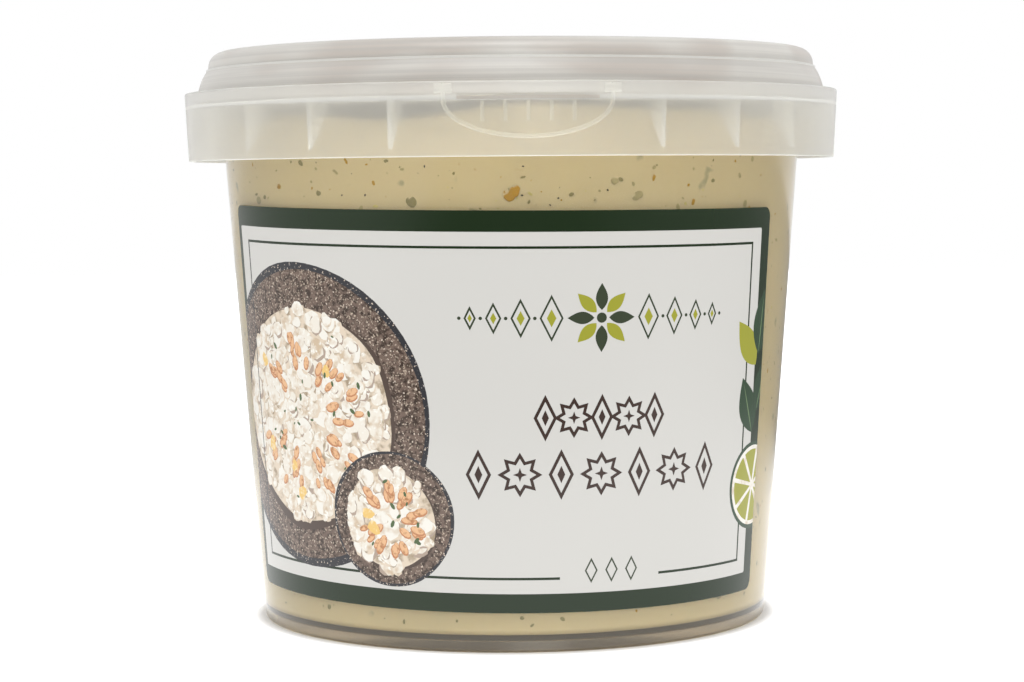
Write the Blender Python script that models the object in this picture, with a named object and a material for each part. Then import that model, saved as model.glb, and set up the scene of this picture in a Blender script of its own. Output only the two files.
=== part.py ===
"""A sealed plastic tub of aubergine dip: a clear tapered cup with a tear-off collar, a milky
snap lid inside that collar, the dip itself and a wrap label. It stands on its foot ring with
its origin at the centre of the foot, the tear tab and the label facing -Y."""

import math

import bmesh
import bpy

MM = 0.001

# Driving dimensions. Heights are above the surface that the tub stands on.
FOOT_RADIUS = 36.74 * MM
WALL_TAPER = 0.0751  # the wall's radius grows by this much for each unit of height
WALL = 0.7 * MM
RIM_TOP = 80.5 * MM
FLOOR_TOP = 2.4 * MM
FLOOR_CORNER = 1.5 * MM
FOOT_RECESS = 1.5 * MM
FOOT_WIDTH = 1.1 * MM
FOOT_HEEL = 0.5 * MM

COLLAR_BOTTOM = 66.45 * MM
COLLAR_TOP = 76.2 * MM
COLLAR_BOTTOM_RADIUS = 47.0 * MM
COLLAR_TOP_RADIUS = 47.5 * MM
COLLAR_WALL = 0.8 * MM
COLLAR_EDGE = 0.3 * MM
FLANGE_BOTTOM = 73.6 * MM
FLANGE_TOP = 74.3 * MM

TAB_AZIMUTH = 2.75  # degrees from -Y towards +X
TAB_HALF_ANGLE = 13.9
TAB_SHOULDER = 73.8 * MM
TAB_BOTTOM = 68.85 * MM
TAB_RIB = 0.55 * MM
TAB_RELIEF = 0.3 * MM
TAB_STATIONS = 24
KNOB_SIZE = 2.0 * MM
KNOB_RELIEF = 0.45 * MM
GRIP_COUNT = 5
GRIP_PITCH = 3.0 * MM
GRIP_WIDTH = 0.7 * MM
GRIP_BOTTOM = 70.8 * MM
GRIP_TOP = 74.0 * MM

GUSSET_PITCH = 15.0  # degrees
GUSSET_THICKNESS = 0.7 * MM
GUSSET_TIP = 67.5 * MM

LID_WALL = 0.8 * MM
LID_TOP = 82.15 * MM
LID_LIP_BOTTOM = 74.75 * MM
LID_LIP_RADIUS = 45.9 * MM
LID_SHOULDER_RADIUS = 45.55 * MM
LID_SHOULDER_BOTTOM = 76.3 * MM
LID_BULGE_RADIUS = 45.25 * MM  # the corner that the shoulder's curve is pulled to
LID_BULGE_LEVEL = 78.0 * MM
LID_BEAD_BOTTOM = 79.3 * MM
LID_BEAD_RADIUS = 44.05 * MM
LID_BEAD_INNER_RADIUS = 40.5 * MM
LID_BEAD_ROUND = 2.15 * MM  # the bead's outer top corner
LID_RECESS = 4.6 * MM
LID_PANEL_CORNER = 0.8 * MM

DIP_LEVEL = 71.65 * MM
DIP_MOUND = 1.6 * MM
DIP_WAVES = ((2, 0.18 * MM, 0.6), (5, 0.11 * MM, 2.1), (9, 0.07 * MM, 4.0))
DIP_SWIRL = 0.8 * MM
DIP_TURNS = 9.0

LABEL_BOTTOM = 5.53 * MM
LABEL_TOP = 59.43 * MM
LABEL_LEFT = -47.75 * MM  # along the wall from its front line, halfway up
LABEL_RIGHT = 41.8 * MM
LABEL_RISE = 0.3 * MM  # how far its edges climb to the sides, over a radian
LABEL_SKEW = -0.32 * MM  # how far it runs downhill to the right, over a radian
LABEL_CUT = 0.33  # 0 for ends along the cone, 1 for the ends of a straight strip
LABEL_THICKNESS = 0.2 * MM
LABEL_CORNER = 1.4 * MM
LABEL_COLUMNS = 30
LABEL_CORNER_STEPS = 4

GAP = 0.3 * MM  # clearance between two pieces that touch
EMBED = 0.3 * MM  # how deep a fused rib or fin reaches into what carries it
SIDES = 72
MERGE = 0.001 * MM

POLYPROPYLENE = ("clear polypropylene", (0.86, 0.85, 0.80), 0.22, 0.9)
MILKY_POLYPROPYLENE = ("milky polypropylene", (0.83, 0.81, 0.77), 0.30, 0.6)
DIP = ("aubergine dip", (0.60, 0.50, 0.31), 0.45, 0.0)
LABEL = ("printed label", (0.70, 0.70, 0.66), 0.35, 0.0)


def clear_scene():
    for thing in list(bpy.data.objects):
        bpy.data.objects.remove(thing, do_unlink=True)


def material(name, colour, roughness, transmission):
    finish = bpy.data.materials.new(name)
    finish.use_nodes = True
    shader = finish.node_tree.nodes["Principled BSDF"]
    shader.inputs["Base Color"].default_value = (*colour, 1.0)
    shader.inputs["Metallic"].default_value = 0.0
    shader.inputs["Roughness"].default_value = roughness
    shader.inputs["Transmission Weight"].default_value = transmission
    finish.diffuse_color = (*colour, 1.0)
    return finish


def wall_radius(height):
    """The cup's outer radius at a height."""
    return FOOT_RADIUS + WALL_TAPER * height


def inner_radius(height):
    return wall_radius(height) - WALL


def collar_radius(height):
    """The collar's outer radius at a height: it flares slightly towards its top."""
    share = (height - COLLAR_BOTTOM) / (COLLAR_TOP - COLLAR_BOTTOM)
    return COLLAR_BOTTOM_RADIUS + share * (COLLAR_TOP_RADIUS - COLLAR_BOTTOM_RADIUS)


def collar_inner_radius(height):
    return collar_radius(height) - COLLAR_WALL


def around(azimuth, radius, height):
    """A point from its azimuth in degrees, counted from -Y towards +X."""
    angle = math.radians(azimuth)
    return (radius * math.sin(angle), -radius * math.cos(angle), height)


def bend(start, corner, end, steps):
    """A rounded corner in an outline: a smooth curve from start to end, pulled to the corner."""
    points = []
    for step in range(steps + 1):
        t = step / steps
        points.append(tuple(
            (1 - t) ** 2 * a + 2 * t * (1 - t) * b + t ** 2 * c
            for a, b, c in zip(start, corner, end)
        ))
    return points


def new_object(name, shape, finish):
    bmesh.ops.recalc_face_normals(shape, faces=shape.faces)
    mesh = bpy.data.meshes.new(name)
    shape.to_mesh(mesh)
    shape.free()
    mesh.materials.append(finish)
    mesh.shade_smooth()
    mesh.set_sharp_from_angle(angle=math.radians(35))
    thing = bpy.data.objects.new(name, mesh)
    bpy.context.scene.collection.objects.link(thing)
    return thing


def turned(name, outline, finish):
    """A body turned about Z from (radius, height) points that start and end on the axis."""
    shape = bmesh.new()
    corners = [shape.verts.new(around(0, r, z)) for r, z in outline]
    edges = [shape.edges.new(pair) for pair in zip(corners, corners[1:])]
    bmesh.ops.spin(
        shape, geom=corners + edges, cent=(0, 0, 0), axis=(0, 0, 1),
        angle=2 * math.pi, steps=SIDES, use_merge=True,
    )
    bmesh.ops.remove_doubles(shape, verts=shape.verts, dist=MERGE)
    return new_object(name, shape, finish)


def swept(name, sections, finish):
    """A closed body through a row of sections, each a loop of as many points."""
    shape = bmesh.new()
    rings = [[shape.verts.new(point) for point in section] for section in sections]
    count = len(rings[0])
    for ring, following in zip(rings, rings[1:]):
        for i in range(count):
            j = (i + 1) % count
            shape.faces.new((ring[i], ring[j], following[j], following[i]))
    shape.faces.new(rings[0])
    shape.faces.new(rings[-1])
    return new_object(name, shape, finish)


def fuse(body, pieces):
    """Joins the pieces to the body with one union, then removes them."""
    group = bpy.data.collections.new("fused")
    for piece in pieces:
        bpy.context.scene.collection.objects.unlink(piece)
        group.objects.link(piece)
    union = body.modifiers.new("union", "BOOLEAN")
    union.operation = "UNION"
    union.operand_type = "COLLECTION"
    union.collection = group
    union.solver = "EXACT"
    depsgraph = bpy.context.evaluated_depsgraph_get()
    joined = bpy.data.meshes.new_from_object(body.evaluated_get(depsgraph))
    body.modifiers.remove(union)
    body.data = joined
    for piece in pieces:
        bpy.data.objects.remove(piece, do_unlink=True)
    bpy.data.collections.remove(group)


def cup_outline():
    """Half of the cup's section, from the middle of its floor over the rim to the foot."""
    floor_edge = inner_radius(FLOOR_TOP)
    corner_top = FLOOR_TOP + FLOOR_CORNER
    foot_inner = FOOT_RADIUS - FOOT_HEEL - FOOT_WIDTH
    return [
        (0, FLOOR_TOP),
        *bend(
            (floor_edge - FLOOR_CORNER, FLOOR_TOP), (floor_edge, FLOOR_TOP),
            (inner_radius(corner_top), corner_top), 3,
        ),
        (inner_radius(RIM_TOP), RIM_TOP),
        (wall_radius(RIM_TOP), RIM_TOP),
        (wall_radius(FLANGE_TOP), FLANGE_TOP),
        (collar_inner_radius(FLANGE_TOP), FLANGE_TOP),
        (collar_inner_radius(COLLAR_TOP), COLLAR_TOP),
        (COLLAR_TOP_RADIUS - COLLAR_EDGE, COLLAR_TOP),
        (collar_radius(COLLAR_TOP - COLLAR_EDGE), COLLAR_TOP - COLLAR_EDGE),
        (COLLAR_BOTTOM_RADIUS, COLLAR_BOTTOM),
        (collar_inner_radius(COLLAR_BOTTOM), COLLAR_BOTTOM),
        (collar_inner_radius(FLANGE_BOTTOM), FLANGE_BOTTOM),
        (wall_radius(FLANGE_BOTTOM), FLANGE_BOTTOM),
        *bend(
            (wall_radius(FOOT_HEEL), FOOT_HEEL), (FOOT_RADIUS, 0),
            (FOOT_RADIUS - FOOT_HEEL, 0), 2,
        ),
        (foot_inner, 0),
        (foot_inner - EMBED, FOOT_RECESS),
        (0, FOOT_RECESS),
    ]


def gusset(azimuth, finish):
    """A thin triangular fin that props the collar off the flange and the wall."""
    half = math.degrees(GUSSET_THICKNESS / 2 / COLLAR_BOTTOM_RADIUS)
    top = FLANGE_BOTTOM + EMBED
    corners = [
        (collar_inner_radius(GUSSET_TIP) + EMBED, GUSSET_TIP),
        (collar_inner_radius(top) + EMBED, top),
        (wall_radius(top) - EMBED, top),
    ]
    sides = [[around(azimuth + side, r, z) for r, z in corners] for side in (-half, half)]
    return swept("gusset", sides, finish)


def collar_block(azimuth, bottom, top, width, relief, finish):
    """A small raised block on the collar's outer face."""
    half = math.degrees(width / 2 / COLLAR_TOP_RADIUS)
    sections = []
    for height in (bottom, top):
        inside = collar_radius(height) - EMBED
        outside = collar_radius(height) + relief
        sections.append([
            around(azimuth - half, inside, height), around(azimuth - half, outside, height),
            around(azimuth + half, outside, height), around(azimuth + half, inside, height),
        ])
    return swept("block", sections, finish)


def tab_path():
    """The tear tab's raised edge on the collar: down one side, round the half ellipse and up."""
    top = COLLAR_TOP - COLLAR_EDGE
    path = [(-TAB_HALF_ANGLE, top)]
    for step in range(TAB_STATIONS + 1):
        turn = math.pi * step / TAB_STATIONS
        path.append((
            -TAB_HALF_ANGLE * math.cos(turn),
            TAB_SHOULDER - (TAB_SHOULDER - TAB_BOTTOM) * math.sin(turn),
        ))
    path.append((TAB_HALF_ANGLE, top))
    return path


def tab_rib(finish):
    """The raised edge as a square rib swept along the tab's path."""
    arc = math.radians(1) * COLLAR_TOP_RADIUS
    path = [(azimuth * arc, height) for azimuth, height in tab_path()]
    sections = []
    for i, (across, height) in enumerate(path):
        before = path[max(i - 1, 0)]
        after = path[min(i + 1, len(path) - 1)]
        run = (after[0] - before[0], after[1] - before[1])
        length = math.hypot(*run)
        side = (-run[1] / length * TAB_RIB / 2, run[0] / length * TAB_RIB / 2)
        section = []
        for sign, relief in ((1, -EMBED), (1, TAB_RELIEF), (-1, TAB_RELIEF), (-1, -EMBED)):
            azimuth = TAB_AZIMUTH + (across + sign * side[0]) / arc
            level = height + sign * side[1]
            section.append(around(azimuth, collar_radius(level) + relief, level))
        sections.append(section)
    return swept("tab rib", sections, finish)


def build_tub():
    """The cup with its rim, flange and collar, fused with the fins and the tear tab."""
    finish = material(*POLYPROPYLENE)
    tub = turned("tub", cup_outline(), finish)
    details = [tab_rib(finish)]
    for step in range(round(360 / GUSSET_PITCH)):
        offset = (step + 0.5) * GUSSET_PITCH
        if min(offset, 360 - offset) > TAB_HALF_ANGLE:
            details.append(gusset(TAB_AZIMUTH + offset, finish))
    knob_top = COLLAR_TOP - COLLAR_EDGE
    knob_bottom = knob_top - KNOB_SIZE / 2
    for side in (-1, 1):
        azimuth = TAB_AZIMUTH + side * TAB_HALF_ANGLE
        details.append(
            collar_block(azimuth, knob_bottom, knob_top, KNOB_SIZE, KNOB_RELIEF, finish)
        )
    for step in range(GRIP_COUNT):
        across = (step - (GRIP_COUNT - 1) / 2) * GRIP_PITCH
        azimuth = TAB_AZIMUTH + math.degrees(across / COLLAR_TOP_RADIUS)
        details.append(
            collar_block(azimuth, GRIP_BOTTOM, GRIP_TOP, GRIP_WIDTH, TAB_RELIEF, finish)
        )
    fuse(tub, details)


def offset_outline(outline, distance):
    """The same outline moved sideways by a distance, to the right of its direction."""
    moved = []
    for i, (radius, height) in enumerate(outline):
        before = outline[max(i - 1, 0)]
        after = outline[min(i + 1, len(outline) - 1)]
        run = (after[0] - before[0], after[1] - before[1])
        length = math.hypot(*run)
        moved.append((radius + run[1] / length * distance, height - run[0] / length * distance))
    return moved


def build_lid():
    """The snap lid: a recessed panel, the stacking bead, the shoulder and the lip."""
    panel_top = LID_TOP - LID_RECESS
    outer = [
        (0, panel_top),
        *bend(
            (LID_BEAD_INNER_RADIUS - LID_PANEL_CORNER, panel_top),
            (LID_BEAD_INNER_RADIUS, panel_top),
            (LID_BEAD_INNER_RADIUS, panel_top + LID_PANEL_CORNER), 2,
        ),
        *bend(
            (LID_BEAD_INNER_RADIUS, LID_TOP - LID_PANEL_CORNER), (LID_BEAD_INNER_RADIUS, LID_TOP),
            (LID_BEAD_INNER_RADIUS + LID_PANEL_CORNER, LID_TOP), 2,
        ),
        *bend(
            (LID_BEAD_RADIUS - LID_BEAD_ROUND, LID_TOP), (LID_BEAD_RADIUS, LID_TOP),
            (LID_BEAD_RADIUS, LID_TOP - LID_BEAD_ROUND), 5,
        ),
        *bend(
            (LID_BEAD_RADIUS, LID_BEAD_BOTTOM), (LID_BULGE_RADIUS, LID_BULGE_LEVEL),
            (LID_SHOULDER_RADIUS, LID_SHOULDER_BOTTOM), 4,
        ),
        (LID_LIP_RADIUS, LID_LIP_BOTTOM),
    ]
    inner = offset_outline(outer, LID_WALL)
    inner[0] = (0, panel_top - LID_WALL)
    inner[-1] = (LID_LIP_RADIUS - LID_WALL, LID_LIP_BOTTOM)
    turned("lid", outer + inner[::-1], material(*MILKY_POLYPROPYLENE))


def dip_level(azimuth, share):
    """The dip's uneven top: a low mound with soft ripples, share being 1 at the wall."""
    angle = math.radians(azimuth)
    shore = sum(size * math.sin(waves * angle + phase) for waves, size, phase in DIP_WAVES)
    swirl = (1 - share) * DIP_SWIRL * math.sin(DIP_TURNS * share + angle)
    return DIP_LEVEL + DIP_MOUND * (1 - share ** 2) + share * (shore + swirl)


def build_dip():
    """The dip, which fills the cup up to its uneven level."""
    bottom = FLOOR_TOP + GAP
    corner_top = bottom + FLOOR_CORNER
    foot = bend(
        (inner_radius(bottom) - GAP - FLOOR_CORNER, bottom), (inner_radius(bottom) - GAP, bottom),
        (inner_radius(corner_top) - GAP, corner_top), 3,
    )
    top_radius = inner_radius(DIP_LEVEL) - GAP
    shares = (1.0, 0.9, 0.75, 0.6, 0.45, 0.3, 0.15)
    shape = bmesh.new()
    columns = []
    for side in range(SIDES):
        azimuth = TAB_AZIMUTH + 360 * side / SIDES
        points = [around(azimuth, r, z) for r, z in foot]
        points += [around(azimuth, s * top_radius, dip_level(azimuth, s)) for s in shares]
        columns.append([shape.verts.new(point) for point in points])
    base = shape.verts.new((0, 0, bottom))
    crown = shape.verts.new((0, 0, dip_level(0, 0)))
    for column, following in zip(columns, columns[1:] + columns[:1]):
        for i in range(len(column) - 1):
            shape.faces.new((column[i], following[i], following[i + 1], column[i + 1]))
        shape.faces.new((base, following[0], column[0]))
        shape.faces.new((crown, column[-1], following[-1]))
    new_object("dip", shape, material(*DIP))


def label_point(across, height, out):
    """A point of the flat label once it is wrapped on the wall, some way out from the wall."""
    middle = wall_radius((LABEL_BOTTOM + LABEL_TOP) / 2)
    turn = across / middle
    level = height + LABEL_RISE * turn ** 2 + LABEL_SKEW * turn
    radius = wall_radius(level)
    azimuth = math.degrees(across / (middle + LABEL_CUT * (radius - middle)))
    return around(azimuth, radius + out, level)


def build_label():
    """The wrap label: a thin skin that follows the cup's taper, with rounded corners."""
    rounded = []
    for step in range(LABEL_CORNER_STEPS + 1):
        turn = math.pi / 2 * step / LABEL_CORNER_STEPS
        rounded.append((LABEL_LEFT + LABEL_CORNER * (1 - math.cos(turn)), 1 - math.sin(turn)))
    span = (LABEL_RIGHT - LABEL_LEFT - 2 * LABEL_CORNER) / LABEL_COLUMNS
    straight = [(LABEL_LEFT + LABEL_CORNER + span * i, 0) for i in range(1, LABEL_COLUMNS)]
    far_end = [(LABEL_LEFT + LABEL_RIGHT - across, cut) for across, cut in rounded[::-1]]
    sections = []
    for across, cut in rounded + straight + far_end:
        low = LABEL_BOTTOM + cut * LABEL_CORNER
        high = LABEL_TOP - cut * LABEL_CORNER
        sections.append([
            label_point(across, low, GAP),
            label_point(across, high, GAP),
            label_point(across, high, GAP + LABEL_THICKNESS),
            label_point(across, low, GAP + LABEL_THICKNESS),
        ])
    swept("label", sections, material(*LABEL))


clear_scene()
build_tub()
build_lid()
build_dip()
build_label()
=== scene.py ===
import math
import random

import bmesh
import bpy
from mathutils import Matrix, Vector
from mathutils.geometry import delaunay_2d_cdt


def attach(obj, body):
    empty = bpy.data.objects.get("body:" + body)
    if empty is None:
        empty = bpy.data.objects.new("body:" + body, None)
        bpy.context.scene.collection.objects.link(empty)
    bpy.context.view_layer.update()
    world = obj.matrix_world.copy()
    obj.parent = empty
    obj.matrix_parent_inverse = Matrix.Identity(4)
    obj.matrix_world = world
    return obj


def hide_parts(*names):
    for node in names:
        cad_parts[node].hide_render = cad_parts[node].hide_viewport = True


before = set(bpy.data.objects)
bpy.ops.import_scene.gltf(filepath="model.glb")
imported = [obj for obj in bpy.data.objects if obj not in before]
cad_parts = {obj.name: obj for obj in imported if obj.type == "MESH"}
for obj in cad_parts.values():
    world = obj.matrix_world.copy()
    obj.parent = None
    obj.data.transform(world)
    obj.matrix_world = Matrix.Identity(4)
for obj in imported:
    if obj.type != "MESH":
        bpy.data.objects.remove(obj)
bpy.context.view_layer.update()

# The camera
# It stands 38 cm in front of the tub, a little below its collar, tipped down slightly and
# turned by half a degree. A fit to the rims, the label's edges and the foot gave this.
MM = 0.001
LENS = 90.02  # mm, on a sensor 36 mm wide
CAMERA_PLACE = Vector((-0.11, -377.3, 62.77)) * MM
CAMERA_TIP = 3.489  # degrees below level
CAMERA_ROLL = 0.47

camera_data = bpy.data.cameras.new("camera")
camera_data.lens = LENS
camera_data.sensor_width = 36
camera_data.clip_start = 10 * MM
camera = bpy.data.objects.new("camera", camera_data)
bpy.context.scene.collection.objects.link(camera)
camera.matrix_world = (
    Matrix.Translation(CAMERA_PLACE)
    @ Matrix.Rotation(math.radians(90 - CAMERA_TIP), 4, "X")
    @ Matrix.Rotation(math.radians(-CAMERA_ROLL), 4, "Z")
)
bpy.context.scene.camera = camera

# The table and the light
# A white table that runs out into a white surround, under one broad lamp from above and in
# front, and a small one behind the camera that fills in the front.
TABLE_RADIUS = 1500 * MM
TABLE_SIDES = 96
TABLE_NEAR = 36.9 * MM  # the table is plain paper up to here, and fades into the white beyond
TABLE_FAR = 39.5 * MM
TABLE_GLOW = 1.4
MIRROR_NEAR = 110 * MM  # its glare on the plastic is full up to here, and falls up to
MIRROR_FAR = 260 * MM
MIRROR_LEFT = 0.5  # this share of it at the left and
MIRROR_RIGHT = 0.22  # at the right
SURROUND_BACK = 0.92
SURROUND_FRONT = 0.12
SURROUND_TURN = (-1.0, -0.1)  # it passes from front to back between these shares of +Y
CARD_NEAR = -130 * MM  # a dark card on the table before the tub keeps its front reflections deep
CARD_FAR = -750 * MM
CARD_HALF_WIDTH = 230 * MM
TOP_LAMP = (Vector((-25, -350, 750)) * MM, 600 * MM, 500 * MM, 2.7)  # place, size and watts
FRONT_LAMP = (Vector((130, -880, 260)) * MM, 330 * MM, 160 * MM, 1.2)
LAMPS_AIM = Vector((0, 0, 40)) * MM


def add(tree, kind, inputs=None, **settings):
    """One node with its settings, and its inputs linked from sockets or set to values."""
    made = tree.nodes.new(kind)
    for name, value in settings.items():
        setattr(made, name, value)
    for name, value in (inputs or {}).items():
        if isinstance(value, bpy.types.NodeSocket):
            tree.links.new(value, made.inputs[name])
        else:
            made.inputs[name].default_value = value
    return made


def noise(tree, place, scale, detail, layer=None):
    """The value of a noise texture, in a layer of its own where one is given."""
    inputs = {"Vector": place, "Scale": scale, "Detail": detail}
    if layer is None:
        return add(tree, "ShaderNodeTexNoise", inputs).outputs["Fac"]
    inputs["W"] = layer
    return add(tree, "ShaderNodeTexNoise", inputs, noise_dimensions="4D").outputs["Fac"]


def ramp(tree, value, low, high, start=0.0, end=1.0, soft=True):
    """Runs from start to end while the value passes from low to high, softly or evenly."""
    return add(tree, "ShaderNodeMapRange", {
        "Value": value, "From Min": low, "From Max": high, "To Min": start, "To Max": end,
    }, interpolation_type="SMOOTHSTEP" if soft else "LINEAR").outputs["Result"]


def bump(tree, height, strength, distance):
    """Fine relief for a shader's normal."""
    return add(tree, "ShaderNodeBump", {
        "Height": height, "Strength": strength, "Distance": distance,
    }).outputs["Normal"]


def new_material(name):
    """A material, its empty node tree, and the place on the object that patterns go by."""
    finish = bpy.data.materials.new(name)
    finish.use_nodes = True
    tree = finish.node_tree
    tree.nodes.clear()
    return finish, tree, add(tree, "ShaderNodeTexCoord").outputs["Object"]


def mesh_of(name, shape):
    """The plain mesh of a bmesh, which is freed."""
    mesh = bpy.data.meshes.new(name)
    shape.to_mesh(mesh)
    shape.free()
    return mesh


def new_piece(name, mesh, *finishes):
    """An object at the origin that shows the mesh with its finishes."""
    piece = bpy.data.objects.new(name, mesh)
    bpy.context.scene.collection.objects.link(piece)
    for finish in finishes:
        mesh.materials.append(finish)
    return piece


def table_finish():
    """Matt white paper that turns into plain white light away from the tub."""
    finish, tree, place = new_material("table paper")
    paper = add(tree, "ShaderNodeBsdfPrincipled", {
        "Base Color": (0.93, 0.925, 0.915, 1), "Roughness": 0.75, "Specular IOR Level": 0.2,
        "Normal": bump(tree, noise(tree, place, 900.0, 3.0), 0.05, 0.05 * MM),
    })
    away = add(tree, "ShaderNodeVectorMath", {0: place}, operation="LENGTH").outputs["Value"]
    across = add(tree, "ShaderNodeSeparateXYZ", {"Vector": place}).outputs["X"]
    side = ramp(tree, across, -MIRROR_NEAR, MIRROR_NEAR,
                TABLE_GLOW * MIRROR_LEFT, TABLE_GLOW * MIRROR_RIGHT, soft=False)
    strength = add(tree, "ShaderNodeMix", {
        0: add(tree, "ShaderNodeLightPath").outputs["Is Glossy Ray"],
        2: TABLE_GLOW, 3: ramp(tree, away, MIRROR_NEAR, MIRROR_FAR, TABLE_GLOW, side),
    }, data_type="FLOAT")
    white = add(tree, "ShaderNodeEmission", {
        "Color": (1, 1, 1, 1), "Strength": strength.outputs[0],
    })
    faded = add(tree, "ShaderNodeMixShader", {
        0: ramp(tree, away, TABLE_NEAR, TABLE_FAR),
        1: paper.outputs["BSDF"], 2: white.outputs["Emission"],
    })
    add(tree, "ShaderNodeOutputMaterial", {"Surface": faded.outputs["Shader"]})
    return finish


table_shape = bmesh.new()
bmesh.ops.create_circle(table_shape, cap_ends=True, radius=TABLE_RADIUS, segments=TABLE_SIDES)
new_piece("table", mesh_of("table", table_shape), table_finish())

card_mesh = bpy.data.meshes.new("dark_card")
card_mesh.from_pydata([
    (-CARD_HALF_WIDTH, CARD_FAR, MM), (CARD_HALF_WIDTH, CARD_FAR, MM),
    (CARD_HALF_WIDTH, CARD_NEAR, MM), (-CARD_HALF_WIDTH, CARD_NEAR, MM),
], [], [(0, 1, 2, 3)])
card_finish, card_tree, _ = new_material("dark card")
felt = add(card_tree, "ShaderNodeBsdfDiffuse", {"Color": (0.02, 0.02, 0.02, 1)})
add(card_tree, "ShaderNodeOutputMaterial", {"Surface": felt.outputs["BSDF"]})
card = new_piece("dark_card", card_mesh, card_finish)
card.visible_camera = False
card.visible_diffuse = False
card.visible_shadow = False
card.visible_transmission = False

surround = bpy.data.worlds.new("surround")
surround.use_nodes = True
surround.node_tree.nodes.clear()
sky = surround.node_tree
toward = add(sky, "ShaderNodeSeparateXYZ", {
    "Vector": add(sky, "ShaderNodeTexCoord").outputs["Generated"],
})
lit = add(sky, "ShaderNodeBackground", {
    "Color": (1, 1, 1, 1),
    "Strength": ramp(sky, toward.outputs["Y"], *SURROUND_TURN, SURROUND_FRONT, SURROUND_BACK),
})
seen = add(sky, "ShaderNodeBackground", {"Color": (1, 1, 1, 1), "Strength": 1.0})
either = add(sky, "ShaderNodeMixShader", {
    0: add(sky, "ShaderNodeLightPath").outputs["Is Camera Ray"],
    1: lit.outputs["Background"], 2: seen.outputs["Background"],
})
add(sky, "ShaderNodeOutputWorld", {"Surface": either.outputs["Shader"]})
bpy.context.scene.world = surround


def softbox(name, place, width, height, power):
    """A rectangular lamp that faces the tub."""
    lamp_data = bpy.data.lights.new(name, "AREA")
    lamp_data.shape = "RECTANGLE"
    lamp_data.size = width
    lamp_data.size_y = height
    lamp_data.energy = power
    lamp = bpy.data.objects.new(name, lamp_data)
    bpy.context.scene.collection.objects.link(lamp)
    turn = (LAMPS_AIM - place).to_track_quat("-Z", "Y").to_matrix().to_4x4()
    lamp.matrix_world = Matrix.Translation(place) @ turn


softbox("top lamp", *TOP_LAMP)
softbox("front lamp", *FRONT_LAMP)
bpy.context.scene.view_settings.view_transform = "Standard"
bpy.context.scene.cycles.max_bounces = 16
bpy.context.scene.cycles.transmission_bounces = 14
bpy.context.scene.cycles.diffuse_bounces = 6
bpy.context.scene.cycles.glossy_bounces = 6

# The cup
# A tapered cup of thin natural polypropylene, injection moulded in one piece with its foot
# ring, and near the rim with a flange that carries a deep, cloudier collar round the lid.
FOOT_RADIUS = 36.74 * MM
WALL_TAPER = 0.0751  # the wall's radius grows by this much for each unit of height
WALL = 0.7 * MM
RIM_TOP = 80.5 * MM
FLOOR_TOP = 2.4 * MM
FLOOR_CORNER = 0.9 * MM
FOOT_RECESS = 1.5 * MM
FOOT_WIDTH = 1.1 * MM
FOOT_HEEL = 0.5 * MM
COLLAR_BOTTOM = 66.45 * MM
COLLAR_TOP = 76.2 * MM
COLLAR_BOTTOM_RADIUS = 47.0 * MM
COLLAR_TOP_RADIUS = 47.5 * MM
COLLAR_WALL = 0.8 * MM
FLANGE_BOTTOM = 73.85 * MM
FLANGE_TOP = 74.3 * MM
EDGE_ROUND = 0.3 * MM
CORNER_ROUND = 0.45 * MM
TAB_HALF_ANGLE = 13.4  # degrees
TAB_ROOT_HALF_ANGLE = 11.6  # over the tab, between its lugs, the flange's edge is painted darker and browner, as the shade of the headspace behind it
FRONT = 2.75  # degrees from -Y towards +X: the azimuth of the tear tab
SIDES = 256
MERGE = 0.0005 * MM
SHARP = 40  # degrees


def wall_radius(height):
    """The cup's outer radius at a height."""
    return FOOT_RADIUS + WALL_TAPER * height


def inner_radius(height):
    return wall_radius(height) - WALL


def collar_radius(height):
    """The collar's outer radius at a height: it flares slightly towards its top."""
    share = (height - COLLAR_BOTTOM) / (COLLAR_TOP - COLLAR_BOTTOM)
    return COLLAR_BOTTOM_RADIUS + share * (COLLAR_TOP_RADIUS - COLLAR_BOTTOM_RADIUS)


def rounded(corners, steps=7):
    """An outline through (radius, height, rounding) corners, each rounded by an arc."""
    points = []
    for i, (radius, height, rounding) in enumerate(corners):
        here = Vector((radius, height))
        if rounding == 0:
            points.append(here)
            continue
        back = (Vector(corners[i - 1][:2]) - here).normalized()
        ahead = (Vector(corners[i + 1][:2]) - here).normalized()
        half = back.angle(ahead) / 2
        middle = here + (back + ahead).normalized() * (rounding / math.sin(half))
        start = here + back * (rounding / math.tan(half)) - middle
        end = here + ahead * (rounding / math.tan(half)) - middle
        sweep = start.angle(end)
        for step in range(steps + 1):
            share = step / steps
            spoke = start * math.sin((1 - share) * sweep) + end * math.sin(share * sweep)
            points.append(middle + spoke / math.sin(sweep))
    return points


def geometry_tree(name, sizes):
    """A Geometry Nodes tree with a mesh going in and out and named sizes, and its input node."""
    tree = bpy.data.node_groups.new(name, "GeometryNodeTree")
    tree.interface.new_socket("Geometry", in_out="INPUT", socket_type="NodeSocketGeometry")
    for label, kind in sizes.items():
        tree.interface.new_socket(label, in_out="INPUT", socket_type=kind)
    tree.interface.new_socket("Geometry", in_out="OUTPUT", socket_type="NodeSocketGeometry")
    return tree, add(tree, "NodeGroupInput").outputs


def close_tree(tree, shape, finish):
    """Ends the tree: its instances are made real and take the material."""
    real = add(tree, "GeometryNodeRealizeInstances", {"Geometry": shape})
    smooth = add(tree, "GeometryNodeSetShadeSmooth", {"Geometry": real.outputs["Geometry"]})
    dressed = add(tree, "GeometryNodeSetMaterial", {
        "Geometry": smooth.outputs["Geometry"], "Material": finish,
    })
    add(tree, "NodeGroupOutput", {"Geometry": dressed.outputs["Geometry"]})


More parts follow.
